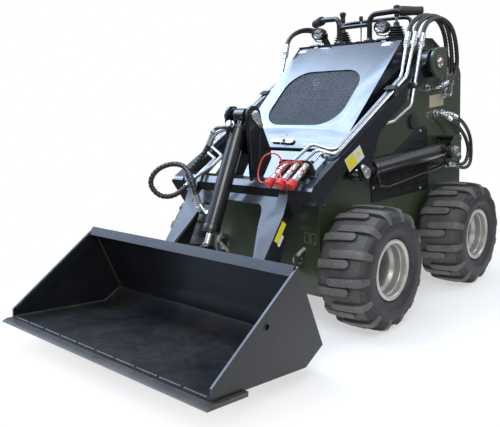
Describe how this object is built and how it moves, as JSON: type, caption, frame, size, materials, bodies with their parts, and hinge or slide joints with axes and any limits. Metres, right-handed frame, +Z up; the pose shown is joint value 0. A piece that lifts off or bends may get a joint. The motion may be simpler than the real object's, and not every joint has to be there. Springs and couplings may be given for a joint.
{
  "type": "skid steer loader",
  "caption": "Compact wheeled skid steer loader with a front boom, tilting bucket, hydraulic cylinders, hinged sloping hood and a rear platform for a standing operator.",
  "frame": {"origin": "on the ground under the middle of the machine's overall box", "axes": "+Z up, machine front towards -Y, its left side towards +X"},
  "size_m": [1.104, 2.2978, 1.2719],
  "materials": {
    "chassis_green": "satin olive green paint",
    "boom_black": "gloss black paint",
    "bucket_black": "gloss black paint, dusty",
    "hood_navy": "gloss blue-black paint",
    "grille_black": "satin black",
    "lever_grey": "grey-green paint",
    "engine_grey": "matt",
    "motor_iron": "painted black",
    "control_rubber": "matt",
    "lamp_black": "black housing, clear lens",
    "tube_zinc": "zinc plated",
    "rod_chrome": "polished",
    "hose_rubber": "spiral guard on rubber",
    "tyre_rubber": "dusty",
    "rim_silver": "silver paint"
  },
  "bodies": {
    "chassis": {"side_panel_left": "chassis_green", "side_panel_right": "chassis_green", "chassis_pan": "chassis_green", "front_deck": "chassis_green", "console_panel": "boom_black", "pin_brackets": "chassis_green", "engine_block": "engine_grey", "wheel_motors": "motor_iron", "side_vent_panels": "grille_black", "tie_down_lugs": "chassis_green", "handlebars": "boom_black", "joysticks": "control_rubber", "work_lights": "lamp_black", "hose_stubs": "tube_zinc", "boom_hoses_left": "hose_rubber", "boom_hoses_right": "hose_rubber", "lift_cylinder_hoses": "hose_rubber"},
    "loader_arms": {"loader_arm_left": "boom_black", "loader_arm_right": "boom_black", "boom_front": "boom_black", "tilt_bracket": "boom_black", "arm_tubes_left": "tube_zinc", "arm_tubes_right": "tube_zinc", "coupler_block": "boom_black", "tilt_hoses": "hose_rubber"},
    "bucket": {"bucket": "bucket_black", "cutting_edge": "bucket_black", "quick_attach_plate": "boom_black", "lock_levers": "lever_grey"},
    "tilt_barrel": {"tilt_barrel": "boom_black"},
    "tilt_rod": {"tilt_rod": "rod_chrome"},
    "lift_barrel_left": {"lift_barrel_left": "boom_black"},
    "lift_barrel_right": {"lift_barrel_right": "boom_black"},
    "lift_rod_left": {"lift_rod_left": "rod_chrome"},
    "lift_rod_right": {"lift_rod_right": "rod_chrome"},
    "hood": {"hood": "hood_navy", "hood_grille": "grille_black"},
    "stand_platform": {"stand_platform": "boom_black"},
    "wheel_front_left": {"tyre_front_left": "tyre_rubber", "rim_front_left": "rim_silver"},
    "wheel_front_right": {"tyre_front_right": "tyre_rubber", "rim_front_right": "rim_silver"},
    "wheel_rear_left": {"tyre_rear_left": "tyre_rubber", "rim_rear_left": "rim_silver"},
    "wheel_rear_right": {"tyre_rear_right": "tyre_rubber", "rim_rear_right": "rim_silver"}
  },
  "joints": [
    {"name": "wheel_front_left_spin", "type": "hinge", "parent": "chassis", "child": "wheel_front_left", "pos_m": [0.418, -0.1791, 0.2315], "axis": [1, 0, 0], "continuous": true},
    {"name": "wheel_front_right_spin", "type": "hinge", "parent": "chassis", "child": "wheel_front_right", "pos_m": [-0.418, -0.1791, 0.2315], "axis": [1, 0, 0], "continuous": true},
    {"name": "wheel_rear_left_spin", "type": "hinge", "parent": "chassis", "child": "wheel_rear_left", "pos_m": [0.418, 0.5519, 0.2315], "axis": [1, 0, 0], "continuous": true},
    {"name": "wheel_rear_right_spin", "type": "hinge", "parent": "chassis", "child": "wheel_rear_right", "pos_m": [-0.418, 0.5519, 0.2315], "axis": [1, 0, 0], "continuous": true},
    {"name": "arm_lift", "type": "hinge", "parent": "chassis", "child": "loader_arms", "pos_m": [0, 0.3889, 0.998], "axis": [-1, 0, 0], "range_deg": [-2, 78], "deforming": ["boom_hoses_left", "boom_hoses_right", "lift_cylinder_hoses"]},
    {"name": "bucket_tilt", "type": "hinge", "parent": "loader_arms", "child": "bucket", "pos_m": [0, -0.6051, 0.209], "axis": [1, 0, 0], "range_deg": [-10, 105], "deforming": ["tilt_hoses"]},
    {"name": "lift_cylinder_left_swing", "type": "hinge", "parent": "chassis", "child": "lift_barrel_left", "pos_m": [0.3375, 0.5519, 0.61], "axis": [-1, 0, 0], "range_deg": [-1.85, 53.16]},
    {"name": "lift_cylinder_left_stroke", "type": "slide", "parent": "lift_barrel_left", "child": "lift_rod_left", "axis": [0, -0.999, -0.0449], "range_m": [-0.0106, 0.3744]},
    {"name": "lift_cylinder_right_swing", "type": "hinge", "parent": "chassis", "child": "lift_barrel_right", "pos_m": [-0.3375, 0.5519, 0.61], "axis": [-1, 0, 0], "range_deg": [-1.85, 53.16]},
    {"name": "lift_cylinder_right_stroke", "type": "slide", "parent": "lift_barrel_right", "child": "lift_rod_right", "axis": [0, -0.999, -0.0449], "range_m": [-0.0106, 0.3744]},
    {"name": "tilt_cylinder_swing", "type": "hinge", "parent": "loader_arms", "child": "tilt_barrel", "pos_m": [0, -0.4141, 0.807], "axis": [1, 0, 0], "range_deg": [-0.6, 1.57]},
    {"name": "tilt_cylinder_stroke", "type": "slide", "parent": "tilt_barrel", "child": "tilt_rod", "axis": [0, -0.4208, -0.9071], "range_m": [-0.0188, 0.1879]},
    {"name": "hood_lift", "type": "hinge", "parent": "chassis", "child": "hood", "pos_m": [0, 0.2869, 1.106], "axis": [-1, 0, 0], "range_deg": [0, 60]},
    {"name": "platform_fold", "type": "hinge", "parent": "chassis", "child": "stand_platform", "pos_m": [0, 0.8429, 0.196], "axis": [1, 0, 0], "range_deg": [0, 80]}
  ],
  "couplings": [
    {"joint": "lift_cylinder_left_swing", "follows": "arm_lift", "ratio": 0.67511},
    {"joint": "lift_cylinder_left_stroke", "follows": "arm_lift", "m_per_rad": 0.27432},
    {"joint": "lift_cylinder_right_swing", "follows": "arm_lift", "ratio": 0.67511},
    {"joint": "lift_cylinder_right_stroke", "follows": "arm_lift", "m_per_rad": 0.27432},
    {"joint": "tilt_cylinder_swing", "follows": "bucket_tilt", "ratio": 0.01021},
    {"joint": "tilt_cylinder_stroke", "follows": "bucket_tilt", "m_per_rad": 0.10197}
  ]
}
